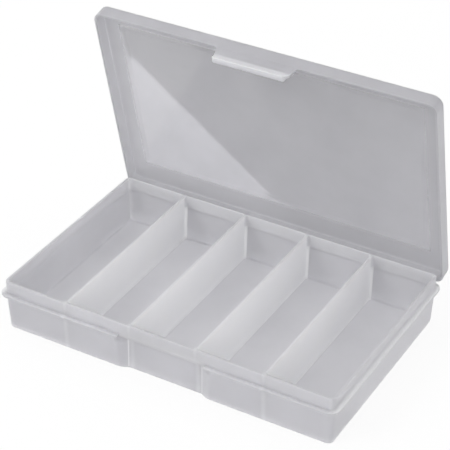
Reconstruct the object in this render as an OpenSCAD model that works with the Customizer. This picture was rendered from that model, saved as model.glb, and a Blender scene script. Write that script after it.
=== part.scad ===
// Hinged-lid compartment box in translucent polypropylene, moulded in one shot.
// Origin at the centre of the underside, X along the length, Y from front to back, Z up.

/* [Tray] */
// Length of the tray over its rim
tray_len = 200; // [170:1:240]
// Depth of the tray over its rim, front to back
tray_dep = 125.6; // [100:0.2:160]
// Height of the tray's rim above the table
rim_h = 30.2; // [28:0.1:45]
// Thickness of the outer walls
wall = 1.5; // [1.2:0.1:2.2]
// Thickness of the floor
floor_t = 1.4; // [1:0.1:2.5]
// How far the walls lean in from the flange down to the foot
draft = 0.85; // [0.2:0.05:1.6]
// Radius of the tray's upright corners
tray_r = 3.5; // [2.5:0.1:6]
// Rounding where the walls turn under to the foot
foot_r = 0.8; // [0.3:0.1:1.2]
// Bevel along the rim's top edges
rim_bevel = 0.3; // [0.1:0.05:0.5]

/* [Compartments] */
// Distance from one divider to the next
divider_pitch = 40.2; // [36:0.1:42]
// Thickness of a divider
divider_t = 1.2; // [0.8:0.1:2]
// How far the dividers stop below the rim
divider_drop = 0.5; // [0.2:0.1:4]
// Radius of a compartment's upright corners
cell_r = 1.6; // [0.8:0.1:3]
// Fillet where a compartment's walls meet its floor
cell_fillet = 1.2; // [0.4:0.1:2]

/* [Flange] */
// Height of the flange's top face above the table
flange_z = 23; // [18:0.1:25]
// Thickness of the flange
flange_t = 1.5; // [1:0.1:2.5]
// How far the flange stands out at the front and the ends
flange_over = 2.6; // [2.2:0.1:5]

/* [Finger recess] */
// Length of the recess along its back wall
recess_len = 44.6; // [30:0.1:60]
// Depth of the recess behind the rim's front face
recess_depth = 3.5; // [2:0.1:5]
// Sideways run of the slanted ends for each unit of depth
recess_run = 1.9; // [0.5:0.1:2.5]

/* [Lid] */
// Thickness of the lid's top panel
lid_t = 1.2; // [0.9:0.1:2]
// Thickness of the lid's skirt
lid_wall = 1.4; // [1:0.1:1.8]
// Gap between the rim and the inside of the skirt
lid_gap = 0.6; // [0.5:0.05:1]
// Gap between the rim's top and the closed panel
seat_gap = 0.15; // [0.1:0.05:0.5]
// Gap between the flange and the closed skirt
skirt_gap = 0.2; // [0.1:0.05:0.3]
// Rounding of the panel's outer edge
lid_edge = 1; // [0.5:0.1:1.2]
// Fillet inside, between the panel and the skirt
lid_fillet = 0.8; // [0.3:0.1:1.2]
// Height of the raised field above the panel
field_rise = 1; // [0.4:0.1:2]
// Margin from the lid's ends and front to the raised field
field_margin = 10.4; // [8:0.1:20]
// Margin from the lid's back to the raised field
field_back = 15.2; // [8:0.1:25]
// Corner radius of the raised field
field_r = 5; // [3:0.1:10]
// Angle that the lid stands open
open_angle = 76; // [0:1:180]

/* [Latch tongue] */
// Length of the tongue from the panel's top to its tip
tongue_drop = 18.8; // [16:0.1:20]
// Width of the tongue at the skirt
tongue_base = 47; // [30:0.5:60]
// Width of the tongue at its tip
tongue_tip = 43; // [24:0.5:56]
// Thickness of the tongue, in the middle of the skirt's
tongue_t = 1.2; // [0.8:0.1:1.3]
// Radius where the tongue grows out of the skirt
tongue_root_r = 2; // [1:0.1:2.5]
// Radius of the tip's corners
tongue_tip_r = 1.5; // [0.5:0.1:3]
// How far the finger lip curls out
lip_out = 2.1; // [1:0.1:3]
// Height of the curled lip
lip_h = 4.6; // [3:0.1:6]
// Thickness of the lip's outer edge
lip_edge = 0.7; // [0.4:0.1:1.2]
// Clearance between the latch bead and the rim as the lid swings
bead_clear = 0.35; // [0.3:0.05:0.5]
// Side clearance of the tongue in the flange's notch
notch_gap = 2.5; // [2.2:0.1:4]

/* [Hinge] */
// Thickness of the hinge film at the fold
film_t = 0.4; // [0.3:0.05:0.5]
// How much wider each length of film is where it leaves the flange or the skirt
film_flare = 0.3; // [0.1:0.1:0.6]
// How far the film is set in from the flange's top and the skirt's back
film_step = 0.1; // [0.05:0.05:0.2]
// Length of the film from the flange to the fold
film_len = 0.6; // [0.5:0.05:1]
// Radius of the round bead that the film folds on
fold_r = 0.25; // [0.22:0.01:0.26]
// Running gap around the bead
fold_gap = 0.05; // [0.05:0.01:0.06]
// Distance of the fold behind the rim's back face
fold_back = 2.4; // [2:0.1:3]
// Lengths of film on the right of the middle, each from its near end to its far end
film_near = 10; // [5:0.5:15]
// Where the first length of film ends
film_mid = 38; // [25:0.5:40]
// Where the second length of film starts
film_mid_far = 50; // [45:0.5:60]
// Distance of the film's last end from the tray's corner
film_inset = 6; // [5:0.5:20]
// Width of the small tab of film in the middle
film_tab = 5; // [3:0.5:8]

/* [Hidden] */

plate_t = 0.05;
corner_fn = 32;
bite = 1;

half_len = tray_len / 2;
half_dep = tray_dep / 2;
inner_len = half_len - wall;
inner_dep = half_dep - wall;
flange_low = flange_z - flange_t;
divider_top = rim_h - divider_drop;
cell_count = 5;

fold_y = half_dep + fold_back;
fold_z = flange_z - film_step - film_t / 2;
flange_back = fold_y - film_len;

lid_over = lid_gap + lid_wall;
lid_half = half_len + lid_over;
lid_front = -(half_dep + lid_over);
lid_back = fold_y + film_t / 2 + film_step;
lid_r = tray_r + lid_over;
skirt_low = flange_z + skirt_gap;
panel_low = rim_h + seat_gap;
panel_top = panel_low + lid_t;

recess_y = -half_dep + recess_depth;
tongue_out = lid_front + (lid_wall - tongue_t) / 2;
tongue_in = tongue_out + tongue_t;
tip_z = panel_top - tongue_drop;
bead_y = -half_dep - bead_clear;
notch_half = tongue_base / 2 + notch_gap;

// Each length of hinge film as [start, end] along X
film_end = half_len - film_inset;
films = [
    [-film_end, -film_mid_far],
    [-film_mid, -film_near],
    [-film_tab / 2, film_tab / 2],
    [film_near, film_mid],
    [film_mid_far, film_end]
];

// Where the middle plane of a divider stands
function divider_x(i) = (i - (cell_count - 2) / 2) * divider_pitch;

// Inner face of the wall or divider on each side of a compartment
function cell_left(i, lean) = i == 0 ? -inner_len + lean : divider_x(i - 1) + divider_t / 2;
function cell_right(i, lean) = i == cell_count - 1 ? inner_len - lean : divider_x(i) - divider_t / 2;

// Points along a quarter circle, from angle a to angle a + sweep
function arc(cx, cy, r, a, sweep) =
    [for (k = [0 : 8]) [cx + r * cos(a + sweep * k / 8), cy + r * sin(a + sweep * k / 8)]];

// A rectangle with round corners, from its lowest to its highest corner
module round_rect(x0, x1, y0, y1, r) {
    translate([x0 + r, y0]) square([x1 - x0 - 2 * r, y1 - y0]);
    translate([x0, y0 + r]) square([x1 - x0, y1 - y0 - 2 * r]);
    for (x = [x0 + r, x1 - r], y = [y0 + r, y1 - r])
        translate([x, y]) circle(r, $fn = corner_fn);
}

// The same outline as a thin plate at height z, drawn in by inset on every side
module plate(x0, x1, y0, y1, r, z, inset = 0) {
    for (x = [x0 + r, x1 - r], y = [y0 + r, y1 - r])
        translate([x, y, z])
            cylinder(h = plate_t, r = max(r, inset + 0.05) - inset, $fn = corner_fn);
}

// A plate that is centred on the tray
module tray_plate(z, inset) {
    plate(-half_len + inset, half_len - inset, -half_dep + inset, half_dep - inset, tray_r, z);
}

// The leaning outer wall below the flange
module tray_shell() {
    hull() {
        tray_plate(0, draft + foot_r);
        tray_plate(foot_r * 0.3, draft + foot_r * 0.3);
        tray_plate(foot_r, draft);
        tray_plate(flange_low, 0);
    }
}

// The upright rim that the lid's skirt closes over
module rim() {
    hull() {
        tray_plate(flange_low, 0);
        tray_plate(rim_h - rim_bevel - plate_t, 0);
        tray_plate(rim_h - plate_t, rim_bevel);
    }
}

// The flange all round, notched at the front to let the latch tongue through
module flange() {
    translate([0, 0, flange_low])
        linear_extrude(flange_t)
            difference() {
                round_rect(-half_len - flange_over, half_len + flange_over,
                    -half_dep - flange_over, flange_back, tray_r + flange_over - 0.6);
                translate([-notch_half, -half_dep - flange_over - bite])
                    square([2 * notch_half, flange_over + bite]);
            }
}

// The hollow of one compartment, leaning with the outer walls
module cell(i) {
    lean = draft * (1 - cell_fillet / flange_low);
    hull() {
        plate(cell_left(i, draft), cell_right(i, draft), -inner_dep + draft, inner_dep - draft,
            cell_r + cell_fillet, floor_t, cell_fillet);
        plate(cell_left(i, draft), cell_right(i, draft), -inner_dep + draft, inner_dep - draft,
            cell_r + cell_fillet * 0.3, floor_t + cell_fillet * 0.3, cell_fillet * 0.3);
        plate(cell_left(i, lean), cell_right(i, lean), -inner_dep + lean, inner_dep - lean,
            cell_r, floor_t + cell_fillet);
        plate(cell_left(i, 0), cell_right(i, 0), -inner_dep, inner_dep, cell_r, flange_low);
        plate(cell_left(i, 0), cell_right(i, 0), -inner_dep, inner_dep, cell_r, rim_h + bite);
    }
}

// What is cut away above a divider
module divider_cut(i) {
    half = divider_t / 2 + cell_r + bite;
    translate([divider_x(i) - half, -inner_dep, divider_top])
        cube([2 * half, 2 * inner_dep, divider_drop + bite]);
}

// Plan of the finger recess, grown by the wall it is moulded with
module recess_plan(grow) {
    slope = sqrt(1 + recess_run * recess_run);
    back_half = recess_len / 2 + grow * (slope - recess_run);
    mouth_half = recess_len / 2 + grow * slope + recess_run * (recess_depth + bite);
    polygon([
        [-mouth_half, -half_dep - bite],
        [mouth_half, -half_dep - bite],
        [back_half, recess_y + grow],
        [-back_half, recess_y + grow]
    ]);
}

// The film runs from the flange's back edge to the bead that it folds on
module tray_film(span) {
    len = span[1] - span[0];
    hull() {
        translate([span[0] - film_flare, flange_back - bite, fold_z - film_t / 2])
            cube([len + 2 * film_flare, bite, film_t]);
        translate([span[0], fold_y - plate_t, fold_z - film_t / 2])
            cube([len, plate_t, film_t]);
    }
    translate([span[0], fold_y, fold_z])
        rotate([0, 90, 0]) cylinder(h = len, r = fold_r, $fn = 24);
}

module tray() {
    color([0.80, 0.82, 0.84])
    difference() {
        union() {
            tray_shell();
            rim();
            flange();
            for (span = films) tray_film(span);
        }
        difference() {
            for (i = [0 : cell_count - 1]) cell(i);
            linear_extrude(flange_z) recess_plan(wall);
        }
        for (i = [0 : cell_count - 2]) divider_cut(i);
        translate([0, 0, -bite])
            linear_extrude(flange_low + bite) recess_plan(0);
    }
}

// A plate that is centred on the closed lid
module lid_plate(z, inset, r) {
    plate(-lid_half + inset, lid_half - inset, lid_front + inset, lid_back - inset, r, z);
}

// The raised field's plate, drawn in by inset
module field_plate(z, inset) {
    plate(-lid_half + field_margin + inset, lid_half - field_margin - inset,
        lid_front + field_margin + inset, lid_back - field_back - inset, field_r, z);
}

// The raised field as a solid, between two heights
module field(z, rise, draw_in) {
    hull() {
        field_plate(z, draw_in);
        field_plate(z + rise * 0.7, draw_in + rise * 0.3);
        field_plate(z + rise - plate_t, draw_in + rise);
    }
}

module lid_shell() {
    difference() {
        union() {
            hull() {
                lid_plate(skirt_low, 0, lid_r);
                lid_plate(panel_top - lid_edge, 0, lid_r);
                lid_plate(panel_top - lid_edge * 0.3, lid_edge * 0.3, lid_r);
                lid_plate(panel_top - plate_t, lid_edge, lid_r);
            }
            field(panel_top - lid_t / 2, field_rise + lid_t / 2, 0);
        }
        hull() {
            lid_plate(skirt_low - bite, lid_wall, lid_r - lid_wall);
            lid_plate(panel_low - lid_fillet, lid_wall, lid_r - lid_wall);
            lid_plate(panel_low - plate_t, lid_wall + lid_fillet, lid_r - lid_wall);
        }
        field(panel_low - lid_t / 2, field_rise + lid_t / 2, lid_t / 2);
    }
}

// Front view of the tongue: wide at the skirt, with round root and tip corners
module tongue_front() {
    root = tongue_base / 2 + tongue_root_r;
    tip = tongue_tip / 2 - tongue_tip_r;
    right = concat(
        [[root, skirt_low + bite]],
        arc(root, skirt_low - tongue_root_r, tongue_root_r, 105, 75),
        arc(tip, tip_z + tongue_tip_r, tongue_tip_r, 0, -90)
    );
    left = [for (k = [len(right) - 1 : -1 : 0]) [-right[k][0], right[k][1]]];
    polygon(concat(right, left));
}

// Side view of the tongue: a flat strip with a latch bead inside and a lip that curls out
module tongue_side() {
    lip_z = tip_z + lip_edge + lip_h;
    bead_z = flange_low - bite;
    curl = [for (k = [0 : 8]) [tongue_out - lip_out * pow(k / 8, 2), lip_z - lip_h * k / 8]];
    polygon(concat(
        [[tongue_out, skirt_low + bite]],
        curl,
        [
            [tongue_out - lip_out, tip_z],
            [bead_y, tip_z],
            [bead_y, tip_z + lip_edge],
            [tongue_in, tip_z + 2 * lip_edge],
            [tongue_in, bead_z - bite],
            [bead_y, bead_z - bite / 2],
            [bead_y, bead_z],
            [tongue_in, bead_z + bite / 2],
            [tongue_in, skirt_low + bite]
        ]
    ));
}

module tongue() {
    reach = tongue_base / 2 + tongue_root_r + bite;
    intersection() {
        translate([0, bead_y + bite, 0])
            rotate([90, 0, 0])
                linear_extrude(lid_over + lip_out + 2 * bite) tongue_front();
        translate([-reach, 0, 0])
            rotate([90, 0, 90])
                linear_extrude(2 * reach) tongue_side();
    }
}

// The lid's half of the film hangs from the skirt and is hollowed to turn round the bead
module lid_film(span) {
    len = span[1] - span[0];
    difference() {
        hull() {
            translate([span[0] - film_flare, fold_y - film_t / 2, skirt_low])
                cube([len + 2 * film_flare, film_t, bite]);
            translate([span[0], fold_y - film_t / 2, fold_z])
                cube([len, film_t, plate_t]);
        }
        translate([span[0] - bite, fold_y, fold_z])
            rotate([0, 90, 0])
                cylinder(h = len + 2 * bite, r = fold_r + fold_gap, $fn = 24);
    }
}

// The lid as it lies closed on the tray
module lid_closed() {
    lid_shell();
    tongue();
    for (span = films) lid_film(span);
}

module lid() {
    color([0.74, 0.76, 0.78])
    translate([0, fold_y, fold_z])
        rotate([-open_angle, 0, 0])
            translate([0, -fold_y, -fold_z])
                lid_closed();
}

tray();
lid();
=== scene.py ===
import math

import bmesh
import bpy
from mathutils import Matrix, Vector
from mathutils.geometry import tessellate_polygon


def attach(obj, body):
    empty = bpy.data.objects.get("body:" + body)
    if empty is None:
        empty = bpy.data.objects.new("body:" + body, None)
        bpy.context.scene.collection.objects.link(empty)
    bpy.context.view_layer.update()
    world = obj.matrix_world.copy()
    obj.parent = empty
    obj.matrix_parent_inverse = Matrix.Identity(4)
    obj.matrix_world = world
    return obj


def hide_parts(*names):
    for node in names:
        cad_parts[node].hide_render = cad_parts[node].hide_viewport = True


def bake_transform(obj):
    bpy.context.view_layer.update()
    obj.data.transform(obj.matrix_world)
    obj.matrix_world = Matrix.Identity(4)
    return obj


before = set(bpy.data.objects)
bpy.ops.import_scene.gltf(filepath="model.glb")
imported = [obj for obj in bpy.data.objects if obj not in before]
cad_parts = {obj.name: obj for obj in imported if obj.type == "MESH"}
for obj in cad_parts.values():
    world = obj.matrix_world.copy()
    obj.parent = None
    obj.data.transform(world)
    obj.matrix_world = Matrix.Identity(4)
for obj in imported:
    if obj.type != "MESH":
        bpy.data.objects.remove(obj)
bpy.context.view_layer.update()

# Tray: a shallow tray of natural polypropylene, injection moulded in one shot with its four
# dividers. The outer walls lean in to a rounded foot, a flange runs round below the rim, and the
# front wall steps in under the flange so that a thumb can reach the latch tongue.
MM = 0.001
HALF_LEN, HALF_DEP, RIM_Z = 100.0, 62.8, 30.2
WALL, FLOOR_Z, DRAFT, FOOT_R, CORNER_R = 1.5, 1.4, 0.85, 0.8, 3.5
WALL_RINGS = (8.0, 15.0)
FLANGE_LOW, FLANGE_TOP, FLANGE_OVER, FLANGE_BACK = 21.5, 23.0, 2.6, 64.6
FLANGE_R, FLANGE_EDGE = 5.5, 0.35
NOTCH_HALF, NOTCH_LEDGE, NOTCH_R = 26.0, 0.05, 0.5
# the recess: its back, half its length there, and how far its ends run out for each mm of depth
RECESS_Y, RECESS_HALF, RECESS_RUN = -59.3, 22.3, 1.9
RECESS_SLOPE = math.sqrt(1 + RECESS_RUN**2)
RECESS_BEND, RECESS_EASE = 1.1, 0.16
CELLS, BULGED_CELLS = 5, (1, 2, 3)
DIVIDER_PITCH, DIVIDER_T, DIVIDER_DROP = 40.2, 1.2, 0.5
CELL_R, CELL_FILLET, CELL_EDGE, RIM_EDGE = 1.6, 1.2, 0.25, 0.35
CORNER_STEPS = 7
EDGE_TURN = (0, math.pi / 4, math.pi / 2)
RIM_TURN = (0, math.pi / 6, math.pi / 3, math.pi / 2)
FILLET_TURN = (math.pi / 8, math.pi / 4, 3 * math.pi / 8, math.pi / 2)


def arc(cx, cy, r, start, sweep, steps):
    """Points along an arc, angles in degrees."""
    return [
        (cx + r * math.cos(math.radians(start + sweep * k / steps)),
         cy + r * math.sin(math.radians(start + sweep * k / steps)))
        for k in range(steps + 1)
    ]


def outline(x0, x1, y0, y1, r, front=()):
    """A rectangle with round corners, anticlockwise from its front left corner. front holds the
    points that the front side runs through."""
    n = CORNER_STEPS
    return (
        arc(x0 + r, y0 + r, r, 180, 90, n) + list(front) + arc(x1 - r, y0 + r, r, 270, 90, n)
        + arc(x1 - r, y1 - r, r, 0, 90, n) + arc(x0 + r, y1 - r, r, 90, 90, n)
    )


def rounding(r, t):
    """How far an edge of radius r is drawn in at angle t of its quarter turn, and how far it has
    come round."""
    return r * (1 - math.sin(t)), r * (1 - math.cos(t))


def ring(bm, points, z):
    """Vertices at those points; z is one height or one for each point."""
    heights = z if isinstance(z, list) else [z] * len(points)
    return [bm.verts.new((x * MM, y * MM, h * MM)) for (x, y), h in zip(points, heights)]


def skin(bm, low, high, closed=True):
    """Quads from one row of vertices to the next."""
    n = len(low)
    for k in range(n if closed else n - 1):
        m = (k + 1) % n
        bm.faces.new((low[k], low[m], high[m], high[k]))


def skin_rows(bm, rows):
    """Quads between each row of vertices and the one after it."""
    for low, high in zip(rows, rows[1:]):
        skin(bm, low, high)


def fill(bm, *loops):
    """Triangles over a flat region between an outer loop and the loops inside it."""
    flat = [v for loop in loops for v in loop]
    for tri in tessellate_polygon([[Vector((v.co.x, v.co.y, 0)) for v in loop] for loop in loops]):
        bm.faces.new([flat[k] for k in tri])


def make_piece(name, bm):
    """The finished mesh as an object with smooth faces."""
    bmesh.ops.recalc_face_normals(bm, faces=bm.faces)
    for face in bm.faces:
        face.smooth = True
    mesh = bpy.data.meshes.new(name)
    bm.to_mesh(mesh)
    bm.free()
    piece = bpy.data.objects.new(name, mesh)
    bpy.context.scene.collection.objects.link(piece)
    return piece


def keep_flats(piece):
    """Lets the large faces set the shading, so that only the rounded edges shade smoothly."""
    weighted = piece.modifiers.new("flats", "WEIGHTED_NORMAL")
    weighted.weight = 100
    weighted.keep_sharp = False


def recess_front(y_front):
    """Points of the front side, left to right, through the finger recess with its round corners."""
    depth = RECESS_Y - y_front
    mouth_half = RECESS_HALF + RECESS_RUN * depth
    lean = 1 / RECESS_SLOPE
    right = []
    for x, y, turn in ((RECESS_HALF, y_front + depth, -1), (mouth_half, y_front, 1)):
        for k in range(5):
            t = (k - 2) / 2
            # a short run through the corner, eased so that it reads as a small radius
            along = RECESS_BEND * t
            if (t < 0) == (turn < 0):
                dx, dy = along, 0.0
            else:
                dx, dy = along * RECESS_RUN * lean, -along * lean
            ease = RECESS_EASE * (1 - abs(t)) * min(1.0, depth / 2)
            right.append((x + dx, y + dy + turn * ease))
    left = [(-x, y) for x, y in reversed(right)]
    return left + right


def tray_outline(inset, recess=True):
    """The tray's outer plan at one height, drawn in by inset."""
    y0 = -HALF_DEP + inset
    front = recess_front(y0) if recess else ()
    return outline(-HALF_LEN + inset, HALF_LEN - inset, y0, HALF_DEP - inset, CORNER_R, front)


def flange_outline(inset):
    """The flange's plan, with the notch that lets the latch tongue through."""
    y0, ledge = -HALF_DEP - FLANGE_OVER + inset, -HALF_DEP - NOTCH_LEDGE
    half = NOTCH_HALF + inset
    right = [(half - NOTCH_R, ledge), (half, ledge - NOTCH_R)]
    right += arc(half + NOTCH_R, y0 + NOTCH_R, NOTCH_R, 180, 90, 3)
    front = [(-x, y) for x, y in reversed(right)] + right
    x = HALF_LEN + FLANGE_OVER - inset
    return outline(-x, x, y0, FLANGE_BACK - inset, FLANGE_R - inset, front)


def cell_sides(index, lean):
    """Inner faces on the left and right of one compartment, leaning with the outer walls."""
    middle = (index - 2) * DIVIDER_PITCH
    half = (DIVIDER_PITCH - DIVIDER_T) / 2
    left = -HALF_LEN + WALL + lean if index == 0 else middle - half
    right = HALF_LEN - WALL - lean if index == CELLS - 1 else middle + half
    return left, right


def bulge_reach(x, inset):
    """How far back the bulge of the finger recess reaches into the tray at x."""
    grow = WALL + inset
    half = RECESS_HALF + grow * (RECESS_SLOPE - RECESS_RUN)
    return RECESS_Y + grow - max(0.0, abs(x) - half) / RECESS_RUN


# points along a compartment's front side, measured from the bulge's corner, where its plan turns
BULGE_CORNER, BULGE_MARKS = RECESS_HALF + WALL * 0.25, (-0.9, 0, 0.9, 5.7, 6.65, 7.6)
BULGE_SOFT, MARK_CLEAR = 0.35, 1
# share of the bulge that stands in, and how far below the flange's top: a rounded ledge
BULGE_TOP = ((0.88, 0), (0.97, 0.12), (1, 0.4))


def cell_outline(index, inset, lean, bulge=0.0):
    """One compartment's plan; a negative inset opens it out, as at its rounded top edge. bulge is
    the share of the finger recess that stands into it at this height."""
    left, right = cell_sides(index, lean)
    y0 = -HALF_DEP + WALL + lean + inset
    y1 = HALF_DEP - WALL - lean - inset
    front = []
    if index in BULGED_CELLS:
        low, high = left + CELL_R + MARK_CLEAR, right - CELL_R - MARK_CLEAR
        marks = [side * (BULGE_CORNER + step) for side in (-1, 1) for step in BULGE_MARKS]
        marks = sorted(x for x in [low, high] + marks if low <= x <= high)
        front = [(x, y0) for x in marks]
    points = outline(left + inset, right - inset, y0, y1, CELL_R, front)
    at_front = 2 * (CORNER_STEPS + 1) + len(front)
    moved = []
    for k, (x, y) in enumerate(points):
        reach = sum(bulge_reach(x + d, inset) for d in (-BULGE_SOFT, 0, BULGE_SOFT)) / 3
        bulges = index in BULGED_CELLS and k < at_front
        moved.append((x, y + (max(0.0, reach - y0) * bulge if bulges else 0.0)))
    return moved


def cell_top(index, points):
    """Height of the compartment's top edge: full at the outer walls, lower along the dividers."""
    left, right = cell_sides(index, 0)
    heights = []
    for x, y in points:
        at_left, at_right = x - left < CELL_R, right - x < CELL_R
        by_divider = (at_left and index > 0) or (at_right and index < CELLS - 1)
        t = min(1.0, max(0.0, (HALF_DEP - WALL - abs(y)) / CELL_R)) if by_divider else 0.0
        heights.append(RIM_Z - DIVIDER_DROP * t * t * (3 - 2 * t))
    return heights


def wall_lean(z):
    """How far the leaning walls stand in from their plan at the flange."""
    return DRAFT * max(0.0, 1 - z / FLANGE_LOW)


def build_cell(bm, index):
    """One compartment, from its rounded top edge down to its floor. Gives its top edge."""
    top_points = cell_outline(index, -CELL_EDGE, 0)
    heights = cell_top(index, top_points)
    rows = [ring(bm, top_points, heights)]
    for t in EDGE_TURN[1:]:
        across, drop = rounding(CELL_EDGE, t)
        rows.append(ring(bm, cell_outline(index, -across, 0), [h - drop for h in heights]))
    rows.append(ring(bm, cell_outline(index, 0, 0), FLANGE_TOP))
    if index in BULGED_CELLS:
        for share, drop in BULGE_TOP:
            rows.append(ring(bm, cell_outline(index, 0, 0, share), FLANGE_TOP - drop))
    rows.append(ring(bm, cell_outline(index, 0, 0, 1), FLANGE_LOW))
    low = FLOOR_Z + CELL_FILLET
    rows.append(ring(bm, cell_outline(index, 0, wall_lean(low), 1), low))
    for t in FILLET_TURN:
        inset = CELL_FILLET * (1 - math.cos(t))
        z = low - CELL_FILLET * math.sin(t)
        rows.append(ring(bm, cell_outline(index, inset, wall_lean(z), 1), z))
    skin_rows(bm, rows)
    bm.faces.new(rows[-1])
    return rows[0]


def close_tops(bm, rim_edge, tops):
    """The top of the rim, and of each divider between its two compartments."""
    n = CORNER_STEPS + 1
    parts = []
    for top in tops:
        extra = len(top) - 4 * n
        parts.append({
            "front_left": top[:n], "front": top[n:n + extra],
            "front_right": top[n + extra:2 * n + extra],
            "back_right": top[2 * n + extra:3 * n + extra], "back_left": top[3 * n + extra:],
        })
    inner = list(parts[0]["front_left"])
    for index, part in enumerate(parts):
        inner += ([part["front_left"][-1]] if index else []) + part["front"]
        last = index == CELLS - 1
        inner += part["front_right"] + part["back_right"] if last else [part["front_right"][0]]
    for index in range(CELLS - 1, -1, -1):
        part = parts[index]
        inner += ([part["back_right"][-1]] if index < CELLS - 1 else [])
        inner += [part["back_left"][0]] if index else part["back_left"]
    fill(bm, rim_edge, inner)
    for left, right in zip(parts, parts[1:]):
        side = left["front_right"] + left["back_right"]
        facing = list(reversed(right["front_left"])) + list(reversed(right["back_left"]))
        skin(bm, side, facing, closed=False)


# the divider and rim finishes are lighter copies of the tray's plastic: painted light
WALL_FINISH, LIT_DIVIDER_FINISH, LIT_RIM_FINISH = 0, 1, 2
DIVIDERS_REACH = 1.6 * DIVIDER_PITCH
UPRIGHT, UPRIGHT_IN_CORNER, LEVEL = 0.8, 0.2, 0.9
# the recess's slanting ends, which stand as upright as a divider's faces
RECESS_ENDS = (RECESS_HALF + 0.6, RECESS_HALF + 9)


def tray_finish_with_painted_light(face):
    """Dividers, their tops, the inner back rim and the flange's ends get the lighter finishes.
    These
    are painted light: the dividers' for light glowing through them, the others to lift the shade
    on the back rim, the divider tops and the flange's ends.
    """
    middle, normal = face.calc_center_median() / MM, face.normal
    x, y, z = abs(middle.x), middle.y, middle.z
    by_divider = x < DIVIDERS_REACH and z > FLOOR_Z
    in_corner = z < FLOOR_Z + CELL_FILLET or abs(y) > HALF_DEP - WALL - CELL_R - 1
    upright = abs(normal.x) > (UPRIGHT_IN_CORNER if in_corner else UPRIGHT)
    in_recess = y < RECESS_Y + 2 * WALL and RECESS_ENDS[0] < x < RECESS_ENDS[1]
    back_rim = z > FLANGE_TOP and HALF_DEP - 2 * WALL < y < HALF_DEP - WALL / 2
    divider_top = by_divider and z > RIM_Z - 2 * DIVIDER_DROP and abs(y) < HALF_DEP - WALL
    flange_end = normal.z > LEVEL and FLANGE_LOW < z < FLANGE_TOP + DIVIDER_DROP and x > HALF_LEN
    if back_rim or divider_top or flange_end:
        return LIT_RIM_FINISH
    return LIT_DIVIDER_FINISH if by_divider and upright and not in_recess else WALL_FINISH


def build_tray():
    bm = bmesh.new()
    # outside, from the foot up to the flange
    outside = []
    for x, z in arc(FOOT_R, FOOT_R, FOOT_R, 270, -90, 4):
        outside.append(ring(bm, tray_outline(DRAFT + x), z))
    for z in WALL_RINGS + (FLANGE_LOW,):
        outside.append(ring(bm, tray_outline(wall_lean(z)), z))
    bm.faces.new(list(reversed(outside[0])))
    skin_rows(bm, outside)
    flange = []
    for t in EDGE_TURN:
        inset, rise = rounding(FLANGE_EDGE, t)
        flange.append(ring(bm, flange_outline(inset), FLANGE_LOW + rise))
    for t in reversed(EDGE_TURN):
        inset, drop = rounding(FLANGE_EDGE, t)
        flange.append(ring(bm, flange_outline(inset), FLANGE_TOP - drop))
    fill(bm, flange[0], outside[-1])
    skin_rows(bm, flange)
    rim = [ring(bm, tray_outline(0, False), FLANGE_TOP)]
    for t in RIM_TURN:
        drop, inset = rounding(RIM_EDGE, t)
        rim.append(ring(bm, tray_outline(inset, False), RIM_Z - drop))
    fill(bm, flange[-1], rim[0])
    skin_rows(bm, rim)
    tops = [build_cell(bm, index) for index in range(CELLS)]
    close_tops(bm, rim[-1], tops)
    for face in bm.faces:
        face.normal_update()
        face.material_index = tray_finish_with_painted_light(face)
    return make_piece("tray_shell", bm)


tray = build_tray()


def make_node(tree, kind, **values):
    """A node with values on its inputs; an underscore stands for the space in an input's name."""
    node = tree.nodes.new(kind)
    for name, value in values.items():
        node.inputs[name.replace("_", " ")].default_value = value
    return node


def calculate(tree, operation, *terms):
    """A Math node on sockets and plain numbers."""
    node = tree.nodes.new("ShaderNodeMath")
    node.operation = operation
    for slot, term in zip(node.inputs, terms):
        if isinstance(term, (int, float)):
            slot.default_value = term
        else:
            tree.links.new(term, slot)
    return node.outputs["Value"]


def ramp(tree, value, low, high, at_low=0.0, at_high=1.0, smooth=True):
    """Goes from at_low to at_high while the value goes from low to high, and stays there."""
    node = make_node(tree, "ShaderNodeMapRange", From_Min=low, From_Max=high,
                     To_Min=at_low, To_Max=at_high)
    node.interpolation_type = "SMOOTHSTEP" if smooth else "LINEAR"
    tree.links.new(value, node.inputs["Value"])
    return node.outputs["Result"]


# noise scales per metre, and the band of each noise that is used
CLOUDS, CLOUD_BAND = 28, (0.3, 0.7)
STREAKS, STREAK_TURN, STREAK_BAND = (60, 900, 900), (0, 0, 0.35), (0.62, 0.8)
GRAIN, GRAIN_SHARE = 1600, 0.02


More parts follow.
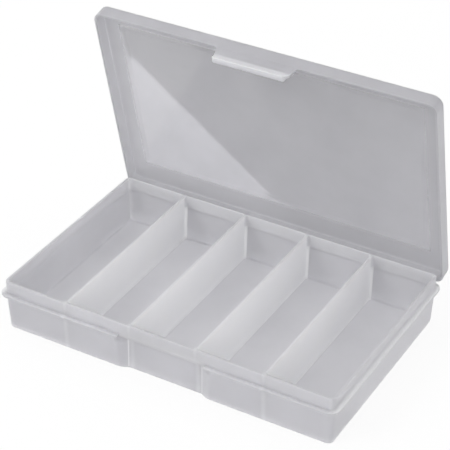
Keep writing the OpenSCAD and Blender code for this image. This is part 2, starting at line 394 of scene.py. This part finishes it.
def moulded_haze_group():
    """What a moulded polypropylene face shows: cloudy haze, fine scuffs and a satin grain."""
    group = bpy.data.node_groups.new("moulded_haze", "ShaderNodeTree")
    for in_out, sockets in (("INPUT", ("Colour", "Haze", "Roughness", "Scuffs")),
                            ("OUTPUT", ("Colour", "Roughness", "Height"))):
        for name in sockets:
            kind = "NodeSocketColor" if name == "Colour" else "NodeSocketFloat"
            group.interface.new_socket(name=name, in_out=in_out, socket_type=kind)
    links = group.links
    given, result = group.nodes.new("NodeGroupInput"), group.nodes.new("NodeGroupOutput")
    place = group.nodes.new("ShaderNodeTexCoord").outputs["Object"]
    # clouds in the plastic, a few centimetres across
    cloud = make_node(group, "ShaderNodeTexNoise", Scale=CLOUDS, Detail=4)
    links.new(place, cloud.inputs["Vector"])
    spread = ramp(group, cloud.outputs["Fac"], *CLOUD_BAND, -1, 1, smooth=False)
    amount = calculate(group, "MULTIPLY_ADD", spread, given.outputs["Haze"], 1)
    tone = group.nodes.new("ShaderNodeVectorMath")
    tone.operation = "SCALE"
    links.new(given.outputs["Colour"], tone.inputs[0])
    links.new(amount, tone.inputs["Scale"])
    links.new(tone.outputs["Vector"], result.inputs["Colour"])
    # scuffs: fine streaks, stretched along the box
    stretch = make_node(group, "ShaderNodeMapping", Scale=STREAKS, Rotation=STREAK_TURN)
    links.new(place, stretch.inputs["Vector"])
    streak = make_node(group, "ShaderNodeTexNoise", Scale=1, Detail=2)
    links.new(stretch.outputs["Vector"], streak.inputs["Vector"])
    fine = ramp(group, streak.outputs["Fac"], *STREAK_BAND, smooth=False)
    rough = calculate(group, "MULTIPLY_ADD", fine, given.outputs["Scuffs"],
                      given.outputs["Roughness"])
    links.new(rough, result.inputs["Roughness"])
    # a satin grain from the mould on top of the slow waves
    grain = make_node(group, "ShaderNodeTexNoise", Scale=GRAIN, Detail=1)
    links.new(place, grain.inputs["Vector"])
    relief = calculate(group, "MULTIPLY_ADD", grain.outputs["Fac"], GRAIN_SHARE,
                       cloud.outputs["Fac"])
    links.new(relief, result.inputs["Height"])
    return group


moulded_haze = moulded_haze_group()
WAVE_HEIGHT, MILKY_DEPTH, PLASTIC_IOR = 0.0006, 0.008, 1.49


def moulded_material(name, colour, haze, roughness, scuffs, see_through, wave):
    """Milky polypropylene: light scatters in it, and see_through is the share that gets past."""
    material = bpy.data.materials.new(name)
    material.use_nodes = True
    nodes, links = material.node_tree.nodes, material.node_tree.links
    shader = nodes["Principled BSDF"]
    finish = nodes.new("ShaderNodeGroup")
    finish.node_tree = moulded_haze
    for socket, value in (("Colour", colour + (1,)), ("Haze", haze), ("Roughness", roughness),
                          ("Scuffs", scuffs)):
        finish.inputs[socket].default_value = value
    links.new(finish.outputs["Colour"], shader.inputs["Base Color"])
    links.new(finish.outputs["Roughness"], shader.inputs["Roughness"])
    bump = make_node(material.node_tree, "ShaderNodeBump", Strength=wave, Distance=WAVE_HEIGHT)
    links.new(finish.outputs["Height"], bump.inputs["Height"])
    links.new(bump.outputs["Normal"], shader.inputs["Normal"])
    for socket, value in (("Metallic", 0), ("Transmission Weight", see_through),
                          ("IOR", PLASTIC_IOR), ("Subsurface Weight", 1),
                          ("Subsurface Radius", (1, 1, 1)), ("Subsurface Scale", MILKY_DEPTH)):
        shader.inputs[socket].default_value = value
    return material


def tone_by_mask(material, mask, thin, thick):
    """The finish's colour goes from thin to thick with the mask. Both callers also paint light and
    shade with it.
    """
    tree = material.node_tree
    tone = tree.nodes.new("ShaderNodeMix")
    tone.data_type = "RGBA"
    # of a Mix node's sockets, inputs 6 and 7 and output 2 are the colours
    tree.links.new(mask, tone.inputs[0])
    tone.inputs[6].default_value = thin + (1,)
    tone.inputs[7].default_value = thick + (1,)
    tree.links.new(tone.outputs[2], tree.nodes["Group"].inputs["Colour"])


WALL_TONE, THICK_AND_LIT_TONE = (0.7, 0.695, 0.735), (0.95, 0.95, 0.99)
# how far the whiter bands reach, in mm, and what share of THICK_AND_LIT_TONE they have; the bands
# # are partly thick plastic and partly painted light
JOINT_REACH, JOINT_SHARE, JOINTS_END = 2.2, 0.4, (85, 88)
FLANGE_SHARE, RIM_SHARE, BELOW_FLANGE = 0.35, 0.1, 4
SKIN_DEPTH, FLANGE_ROOT = (WALL / 3, WALL / 2), (0.6, 0.2)


def whiten_thick_parts_and_paint_light(material):
    """Whiter bands where a divider joins a wall, and where the flange leaves the wall and up the
    rim. They are partly the whiter look of thick milky plastic and partly painted light: a painted
    highlight along the joints, and painted light that lifts the shade in the groove by the flange.
    JOINT_SHARE, FLANGE_SHARE and RIM_SHARE say how much."""
    tree = material.node_tree
    place = tree.nodes.new("ShaderNodeTexCoord").outputs["Object"]
    split = tree.nodes.new("ShaderNodeSeparateXYZ")
    tree.links.new(place, split.inputs["Vector"])
    x, y, z = (split.outputs[axis] for axis in "XYZ")

    def share(value, low, high, at_low, at_high):
        return ramp(tree, value, low * MM, high * MM, at_low, at_high)

    half_pitch = DIVIDER_PITCH / 2 * MM
    nearest = calculate(tree, "PINGPONG", calculate(tree, "ADD", x, half_pitch), half_pitch)
    inside = share(calculate(tree, "ABSOLUTE", x), *JOINTS_END, 1, 0)
    joint = calculate(tree, "MULTIPLY", share(nearest, 0, JOINT_REACH, JOINT_SHARE, 0), inside)
    in_skin = share(y, SKIN_DEPTH[0] - HALF_DEP, SKIN_DEPTH[1] - HALF_DEP, FLANGE_SHARE, 0)
    below = share(z, FLANGE_LOW - BELOW_FLANGE, FLANGE_LOW, 0, FLANGE_SHARE)
    below = calculate(tree, "MINIMUM", below, in_skin)
    at_flange = share(z, FLANGE_LOW, FLANGE_TOP, 0, FLANGE_SHARE)
    at_flange = calculate(tree, "MAXIMUM", below, at_flange)
    off_flange = share(y, -HALF_DEP - FLANGE_ROOT[0], -HALF_DEP - FLANGE_ROOT[1], 0, FLANGE_SHARE)
    at_flange = calculate(tree, "MINIMUM", at_flange, off_flange)
    up_the_rim = share(z, FLANGE_TOP, RIM_Z - 1, FLANGE_SHARE, RIM_SHARE)
    at_flange = calculate(tree, "MINIMUM", at_flange, up_the_rim)
    # partly thick plastic, partly painted highlight and painted light against shade
    thickness_and_painted_light = calculate(tree, "MAXIMUM", joint, at_flange)
    tone_by_mask(material, thickness_and_painted_light, WALL_TONE, THICK_AND_LIT_TONE)


tray_walls = moulded_material("tray_polypropylene", WALL_TONE, haze=0.045, roughness=0.3,
                              scuffs=0.12, see_through=0.45, wave=0.1)
whiten_thick_parts_and_paint_light(tray_walls)
# painted light: the divider finish for light glowing through the dividers, the rim finish to lift
# the shade on the back rim, the divider tops and the flange's ends
lit_divider_plastic = moulded_material("divider_polypropylene_painted_light", (0.97, 0.97, 1.0), haze=0.02,
                                 roughness=0.3, scuffs=0.12, see_through=0.05, wave=0.1)
lit_rim_plastic = moulded_material("rim_polypropylene_painted_light", (0.83, 0.83, 0.865), haze=0.03,
                            roughness=0.3, scuffs=0.12, see_through=0.2, wave=0.1)
for finish in (tray_walls, lit_divider_plastic, lit_rim_plastic):
    tray.data.materials.append(finish)
keep_flats(tray)
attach(tray, "tray")
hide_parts("tray")

# Lid: the cover, moulded in the same shot of polypropylene and standing open on its film hinge. Its
# skirt closes over the tray's rim, its panel has a raised field that is polished inside, and a
# tongue with a curled finger lip hangs from the front of the skirt and catches the flange.
FOLD_Y, FOLD_Z, OPEN = 65.2, 22.7, 76.0
LID_HALF, LID_FRONT, LID_BACK, LID_R = 102.0, -64.8, 65.5, 5.5
SKIRT_LOW, PANEL_LOW, PANEL_TOP = 23.2, 30.35, 31.55
LID_WALL, LID_EDGE, LID_FILLET, SKIRT_EDGE = 1.4, 1.0, 0.8, 0.35
LID_EDGE_STEPS, LID_FILLET_STEPS = 5, 4
FIELD_X, FIELD_FRONT, FIELD_BACK, FIELD_R, FIELD_RISE = 91.6, -54.4, 50.3, 5.0, 0.7
# the soft step up to the field: share of its rise, and how far the plan is drawn in there
FIELD_OUTSIDE = ((0, -1.5), (0.04, -0.8), (0.2, 0.1), (0.5, 1.1), (0.8, 2.1), (0.96, 3.0), (1, 3.7))
FIELD_INSIDE = ((0, -1.1), (0.04, -0.4), (0.2, 0.5), (0.5, 1.5), (0.8, 2.5), (0.96, 3.4), (1, 4.1))


def lid_outline(inset, r=LID_R):
    """The lid's plan, drawn in by inset."""
    return outline(-LID_HALF + inset, LID_HALF - inset, LID_FRONT + inset, LID_BACK - inset, r)


def field_outline(inset):
    """The raised field's plan, drawn in by inset."""
    return outline(-FIELD_X + inset, FIELD_X - inset, FIELD_FRONT + inset, FIELD_BACK - inset,
                   FIELD_R - inset)


def build_lid_shell():
    """The lid without its tongue, in its closed place."""
    bm = bmesh.new()
    # outside, from the skirt's free edge over the panel's rounded edge to the raised field
    rows = []
    for t in EDGE_TURN:
        inset, rise = rounding(SKIRT_EDGE, t)
        rows.append((lid_outline(inset), SKIRT_LOW + rise))
    for k in range(LID_EDGE_STEPS + 1):
        drop, inset = rounding(LID_EDGE, math.pi / 2 * k / LID_EDGE_STEPS)
        rows.append((lid_outline(inset), PANEL_TOP - drop))
    for share, inset in FIELD_OUTSIDE:
        rows.append((field_outline(inset), PANEL_TOP + FIELD_RISE * share))
    outside = [ring(bm, points, z) for points, z in rows]
    skin_rows(bm, outside)
    bm.faces.new(outside[-1])
    # inside, from the skirt's free edge to the underside of the field
    rows = []
    for t in EDGE_TURN:
        inset, rise = rounding(SKIRT_EDGE, t)
        rows.append((lid_outline(LID_WALL - inset, LID_R - LID_WALL), SKIRT_LOW + rise))
    for k in range(LID_FILLET_STEPS + 1):
        drop, inset = rounding(LID_FILLET, math.pi / 2 * k / LID_FILLET_STEPS)
        rows.append((lid_outline(LID_WALL + inset, LID_R - LID_WALL), PANEL_LOW - drop))
    for share, inset in FIELD_INSIDE:
        rows.append((field_outline(inset), PANEL_LOW + FIELD_RISE * share))
    inside = [ring(bm, points, z) for points, z in rows]
    for low, high in zip(inside, inside[1:]):
        skin(bm, high, low)
    bm.faces.new(list(reversed(inside[-1])))
    skin(bm, inside[0], outside[0])
    return make_piece("lid_shell", bm)


TONGUE_BASE, TONGUE_TIP, TONGUE_OUT, TONGUE_IN, TONGUE_EDGE = 23.5, 21.5, -64.7, -63.5, 0.3
ROOT_R, ROOT_STEPS, ROOT_Z = 2.0, 6, 24.2
TIP_Z, TIP_R, TIP_FLAT = 12.75, 1.5, 0.05
LIP_OUT, LIP_H, LIP_T = 2.1, 4.6, 0.7
# two beads inside, one under the flange and one at the tip: middle height, half flat, run
BEAD_Y, BEADS = -63.15, ((20.25, 0.25, 0.5), (TIP_Z + LIP_T / 2, LIP_T / 2, LIP_T))
BEAD_RINGS = (20.75, 20.5, 20.0, 19.5)
TONGUE_RINGS = (18.0, 17.2, 16.4, 15.6, 14.9, 14.25, 13.8, 13.45, 13.2)
SHELL_FINISH, LIP_FINISH = 0, 1


def tongue_width(z):
    """Half the tongue's width: wide where it grows out of the skirt, round at the tip."""
    root_z, tip_z = SKIRT_LOW - ROOT_R, TIP_Z + TIP_R
    if z >= root_z:
        up = min(z, SKIRT_LOW) - root_z
        return TONGUE_BASE + ROOT_R - math.sqrt(max(0.0, ROOT_R**2 - up**2))
    if z <= tip_z:
        return TONGUE_TIP - TIP_R + math.sqrt(max(0.0, TIP_R**2 - (tip_z - z) ** 2))
    return TONGUE_TIP + (TONGUE_BASE - TONGUE_TIP) * (z - tip_z) / (root_z - tip_z)


def tongue_faces(z):
    """Outer and inner face of the tongue at height z: the lip curls out, two beads stand in."""
    lip_z = TIP_Z + LIP_T + LIP_H
    outer = TONGUE_OUT - LIP_OUT * min(1.0, max(0.0, (lip_z - z) / LIP_H)) ** 2
    inner = TONGUE_IN
    for middle, flat, run in BEADS:
        away = min(1.0, max(0.0, (abs(z - middle) - flat) / run))
        inner = max(inner, BEAD_Y - (BEAD_Y - TONGUE_IN) * away)
    return outer, inner


def build_tongue():
    """The latch tongue in its closed place, from inside the skirt down to its tip."""
    bm = bmesh.new()
    heights = [ROOT_Z] + [SKIRT_LOW - ROOT_R * k / ROOT_STEPS for k in range(ROOT_STEPS + 1)]
    heights += BEAD_RINGS + TONGUE_RINGS
    heights += [TIP_Z + TONGUE_EDGE * (1 - math.sin(t)) for t in RIM_TURN[:3]] + [TIP_Z]
    rows = []
    for z in heights:
        outer, inner = tongue_faces(z)
        width = tongue_width(max(z, TIP_Z + TIP_FLAT))
        below = max(0.0, TIP_Z + TONGUE_EDGE - z)
        inset = TONGUE_EDGE - math.sqrt(max(0.0, TONGUE_EDGE**2 - below**2))
        right, front = width - inset - TONGUE_EDGE, outer + inset + TONGUE_EDGE
        left, back = -width + inset + TONGUE_EDGE, inner - inset - TONGUE_EDGE
        points = []
        for cx, cy, start in ((left, front, 180), (right, front, 270), (right, back, 0),
                              (left, back, 90)):
            points += arc(cx, cy, TONGUE_EDGE, start, 90, 3)
        rows.append(ring(bm, points, z))
    skin_rows(bm, rows)
    bm.faces.new(rows[0])
    bm.faces.new(list(reversed(rows[-1])))
    for face in bm.faces:
        in_lip = face.calc_center_median().z < (TIP_Z + LIP_T + LIP_H) * MM
        face.material_index = LIP_FINISH if in_lip else SHELL_FINISH
    return make_piece("latch_tongue", bm)


def about_fold(degrees):
    """A turn about the hinge's fold line; positive closes the lid."""
    return (Matrix.Translation((0, FOLD_Y * MM, FOLD_Z * MM))
            @ Matrix.Rotation(math.radians(degrees), 4, "X")
            @ Matrix.Translation((0, -FOLD_Y * MM, -FOLD_Z * MM)))


# the panel's tone is darker than the same plastic in the tray: painted shade; the skirt keeps the
# tray's tone, painted lighter than the panel where light meets it edge on
SHADED_LID_TONE, LIT_SKIRT_TONE = (0.62, 0.615, 0.655), (0.7, 0.695, 0.735)
SATIN, POLISHED, POLISH_SOFT = 0.34, 0.04, 2.5
SKIRT_FADE = (2.6, 0.6)


def finish_lid_with_painted_light(material):
    """Polished inside the field's border. The panel has a darker tone than the tray's plastic, a
    painted shade, and the skirt is painted lighter, where light meets it edge on.
    """
    tree = material.node_tree
    place = tree.nodes.new("ShaderNodeTexCoord").outputs["Object"]
    to_closed = about_fold(OPEN)
    closed = make_node(tree, "ShaderNodeMapping", Rotation=to_closed.to_euler(),
                       Location=to_closed.to_translation())
    tree.links.new(place, closed.inputs["Vector"])
    split = tree.nodes.new("ShaderNodeSeparateXYZ")
    tree.links.new(closed.outputs["Vector"], split.inputs["Vector"])
    borders, edges = [], []
    for axis, low, high, outer in (("X", -FIELD_X, FIELD_X, LID_HALF),
                                   ("Y", FIELD_FRONT, FIELD_BACK, -LID_FRONT)):
        away = calculate(tree, "SUBTRACT", split.outputs[axis], (low + high) / 2 * MM)
        away = calculate(tree, "ABSOLUTE", away)
        reach = (high - low) / 2
        borders.append(ramp(tree, away, (reach - POLISH_SOFT) * MM, (reach + POLISH_SOFT / 2) * MM,
                            POLISHED, SATIN))
        far = calculate(tree, "ABSOLUTE", split.outputs[axis])
        edges.append(ramp(tree, far, (outer - SKIRT_FADE[0]) * MM, (outer - SKIRT_FADE[1]) * MM))
    roughness = calculate(tree, "MAXIMUM", *borders)
    tree.links.new(roughness, tree.nodes["Group"].inputs["Roughness"])
    tone_by_mask(material, calculate(tree, "MAXIMUM", *edges), SHADED_LID_TONE, LIT_SKIRT_TONE)


lid_shell = moulded_material("lid_polypropylene_painted_shade", SHADED_LID_TONE, haze=0.04, roughness=SATIN,
                             scuffs=0.05, see_through=0.58, wave=0.1)
finish_lid_with_painted_light(lid_shell)
lip = moulded_material("lip_polypropylene", (0.78, 0.78, 0.82), haze=0.03, roughness=0.3,
                       scuffs=0.1, see_through=0.35, wave=0.05)
lid = build_lid_shell()
tongue = build_tongue()
# both shapes have both finishes, because the joined mesh keeps only what they share
for shape in (lid, tongue):
    for finish in (lid_shell, lip):
        shape.data.materials.append(finish)
join = lid.modifiers.new("tongue", "BOOLEAN")
join.operation = "UNION"
join.solver = "EXACT"
join.object = tongue
bpy.context.view_layer.update()
joined = lid.evaluated_get(bpy.context.evaluated_depsgraph_get())
lid.data = bpy.data.meshes.new_from_object(joined)
lid.modifiers.clear()
lid.data.name = "lid_shell"
bpy.data.objects.remove(tongue)
lid.data.transform(about_fold(-OPEN))
keep_flats(lid)
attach(lid, "lid")
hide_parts("lid")

# Hinge film: a thin film of the same polypropylene, moulded with tray and lid, in five lengths from
# the flange's back edge to the skirt. It bends where the tray ends and the lid begins.
FILM_T, BLEND_HALF = 0.4, 0.45
FILM_SPANS = ((-94, -50), (-38, -10), (-2.5, 2.5), (10, 38), (50, 94))
# its path: a flat root on the flange, a short bend that climbs a little, a tail up to the skirt
FILM_ROOT, FILM_FLAT, FILM_BEND, FILM_CLIMB, FILM_TAIL, FILM_FLARE = 1.1, 0.9, 0.2, 0.025, 0.7, 0.3
FILM_STEPS = 4
# the film's light tone is partly the clearer look of thin film and partly painted light that lifts
# the shade in the hinge gap
lit_film_finish = moulded_material("film_polypropylene_painted_light", (0.86, 0.86, 0.9), haze=0.03, roughness=0.35,
                               scuffs=0.1, see_through=0.4, wave=0.05)


def build_film(number, start, end):
    """One length of the film, from start to end along the fold line, wider at both roots."""
    bm = bmesh.new()
    lean = math.radians(90 - OPEN)
    n = FILM_STEPS
    path = [(-FILM_ROOT + FILM_FLAT * k / n, 0.0) for k in range(n + 1)]
    path += [(-FILM_BEND + 2 * FILM_BEND * k / n, FILM_CLIMB * (k / n) ** 2)
             for k in range(1, n + 1)]
    path += [(FILM_BEND + FILM_TAIL * k / n * math.cos(lean),
              FILM_CLIMB + FILM_TAIL * k / n * math.sin(lean)) for k in range(1, n + 1)]
    rows = []
    for dy, dz in path:
        flare = FILM_FLARE * (abs(dy) / FILM_ROOT) ** 2
        y, z = (FOLD_Y + dy) * MM, FOLD_Z + dz
        rows.append([
            bm.verts.new((x * MM, y, (z + side * FILM_T / 2) * MM))
            for x, side in ((start - flare, -1), (end + flare, -1), (end + flare, 1),
                            (start - flare, 1))
        ])
    skin_rows(bm, rows)
    bm.faces.new(rows[0])
    bm.faces.new(list(reversed(rows[-1])))
    film = make_piece(f"hinge_film_{number}", bm)
    film.data.materials.append(lit_film_finish)
    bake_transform(film)


for number, (span_start, span_end) in enumerate(FILM_SPANS, 1):
    build_film(number, span_start, span_end)

# Floor, world and light: a plain white sweep in even light, with one large softbox at the front
# left, as for a catalogue picture. The floor keeps a faint shadow of the box. Behind the box a card
# on the floor glows grey and is seen only through the plastic: painted shade, for the box's shadow
# behind it and a darker ground further back.
FLOOR_HALF, FLOOR_WHITE, WORLD_LEVEL = 3, 0.9, 0.95
CARD_Z = 0.0005
CARD_PLAN = ((-0.102, -0.065), (-0.102, 0.070), (0.4, 0.070), (0.4, 0.9), (-0.8, 0.9),
             (-0.8, 0.619), (0.0011, 0.104), (-0.02, 0.111), (-0.128, 0.111), (-0.128, -0.065))
# the card's painted shade: from where to where along each axis, and what it is at both ends
CARD_BACKWARD, CARD_SIDEWAYS = (0.12, 0.27, 0.36, 0.05), (-0.03, 0.07, 0, 0.16)
SOFTBOX_PLACE, SOFTBOX_AIM, SOFTBOX_SIZE, SOFTBOX_WATTS = (-1.4, -1.8, 2.0), (0, 0, 0.03), 1.0, 27


def stage_plate(name, points):
    """A flat plate of the stage with a material of its own."""
    mesh = bpy.data.meshes.new(name)
    mesh.from_pydata(points, [], [range(len(points))])
    plate = bpy.data.objects.new(name, mesh)
    bpy.context.scene.collection.objects.link(plate)
    paint = bpy.data.materials.new(name)
    paint.use_nodes = True
    mesh.materials.append(paint)
    return plate


def seen_rays(tree, share):
    """How much of the plain white a ray sees: camera, glossy and see-through rays."""
    path = tree.nodes.new("ShaderNodeLightPath")
    seen = calculate(tree, "MAXIMUM", path.outputs["Is Camera Ray"], path.outputs["Is Glossy Ray"])
    seen = calculate(tree, "MAXIMUM", seen, path.outputs["Is Transmission Ray"])
    return calculate(tree, "MULTIPLY", seen, share)


corners = [(x * FLOOR_HALF, y * FLOOR_HALF, 0) for x, y in ((-1, -1), (1, -1), (1, 1), (-1, 1))]
floor_tree = stage_plate("white_floor", corners).data.materials[0].node_tree
paint = floor_tree.nodes["Principled BSDF"]
paint.inputs["Base Color"].default_value = (0.9, 0.9, 0.9, 1)
paint.inputs["Roughness"].default_value = 0.9
glow = make_node(floor_tree, "ShaderNodeEmission", Color=(1, 1, 1, 1), Strength=1)
blend_floor = floor_tree.nodes.new("ShaderNodeMixShader")
floor_tree.links.new(seen_rays(floor_tree, FLOOR_WHITE), blend_floor.inputs["Fac"])
floor_tree.links.new(paint.outputs["BSDF"], blend_floor.inputs[1])
floor_tree.links.new(glow.outputs["Emission"], blend_floor.inputs[2])
floor_tree.links.new(blend_floor.outputs["Shader"],
                     floor_tree.nodes["Material Output"].inputs["Surface"])

# the card glows grey as painted shade and shows only through the clear parts of the lid: darker
# # further back, lighter to the right
card = stage_plate("painted_shade_card", [(x, y, CARD_Z) for x, y in CARD_PLAN])
card_tree = card.data.materials[0].node_tree
card_tree.nodes.remove(card_tree.nodes["Principled BSDF"])
grey = card_tree.nodes.new("ShaderNodeEmission")
split = card_tree.nodes.new("ShaderNodeSeparateXYZ")
card_tree.links.new(card_tree.nodes.new("ShaderNodeTexCoord").outputs["Object"],
                    split.inputs["Vector"])
backward = ramp(card_tree, split.outputs["Y"], *CARD_BACKWARD, smooth=False)
sideways = ramp(card_tree, split.outputs["X"], *CARD_SIDEWAYS, smooth=False)
card_tree.links.new(calculate(card_tree, "ADD", backward, sideways), grey.inputs["Color"])
card_tree.links.new(grey.outputs["Emission"],
                    card_tree.nodes["Material Output"].inputs["Surface"])
card.visible_camera = card.visible_diffuse = card.visible_glossy = card.visible_shadow = False

world = bpy.data.worlds.new("studio")
bpy.context.scene.world = world
world.use_nodes = True
backdrop = world.node_tree.nodes["Background"]
backdrop.inputs["Color"].default_value = (1, 1, 1, 1)
level = ramp(world.node_tree, seen_rays(world.node_tree, 1.0), 0, 1, WORLD_LEVEL, 1, smooth=False)
world.node_tree.links.new(level, backdrop.inputs["Strength"])

softbox_data = bpy.data.lights.new("left_softbox", "AREA")
softbox_data.shape = "RECTANGLE"
softbox_data.size = softbox_data.size_y = SOFTBOX_SIZE
softbox_data.energy = SOFTBOX_WATTS
softbox = bpy.data.objects.new("left_softbox", softbox_data)
softbox.location = SOFTBOX_PLACE
toward_box = Vector(SOFTBOX_AIM) - Vector(SOFTBOX_PLACE)
softbox.rotation_euler = toward_box.to_track_quat("-Z", "Y").to_euler()
bpy.context.scene.collection.objects.link(softbox)

# Camera: a long lens high above the right of the front, at the photograph's viewing angle. Its
# place and its lens were matched to the corners of the box.
AZIMUTH, ELEVATION, ROLL = 29.57, 33.3, 0.58
CAMERA_PLACE = (0.37807, -0.66356, 0.56608)
LENS_PIXELS, FRAME_PIXELS, SENSOR = 1719.08, 450, 36
camera_data = bpy.data.cameras.new("camera")
camera = bpy.data.objects.new("camera", camera_data)
bpy.context.scene.collection.objects.link(camera)
camera_data.sensor_width = SENSOR
camera_data.lens = LENS_PIXELS / FRAME_PIXELS * SENSOR
camera.matrix_world = (
    Matrix.Translation(CAMERA_PLACE)
    @ Matrix.Rotation(math.radians(AZIMUTH), 4, "Z")
    @ Matrix.Rotation(math.radians(90 - ELEVATION), 4, "X")
    @ Matrix.Rotation(math.radians(ROLL), 4, "Z")
)
camera_data.clip_start, camera_data.clip_end = 0.05, 20
bpy.context.scene.camera = camera
bpy.context.scene.view_settings.view_transform = "Standard"
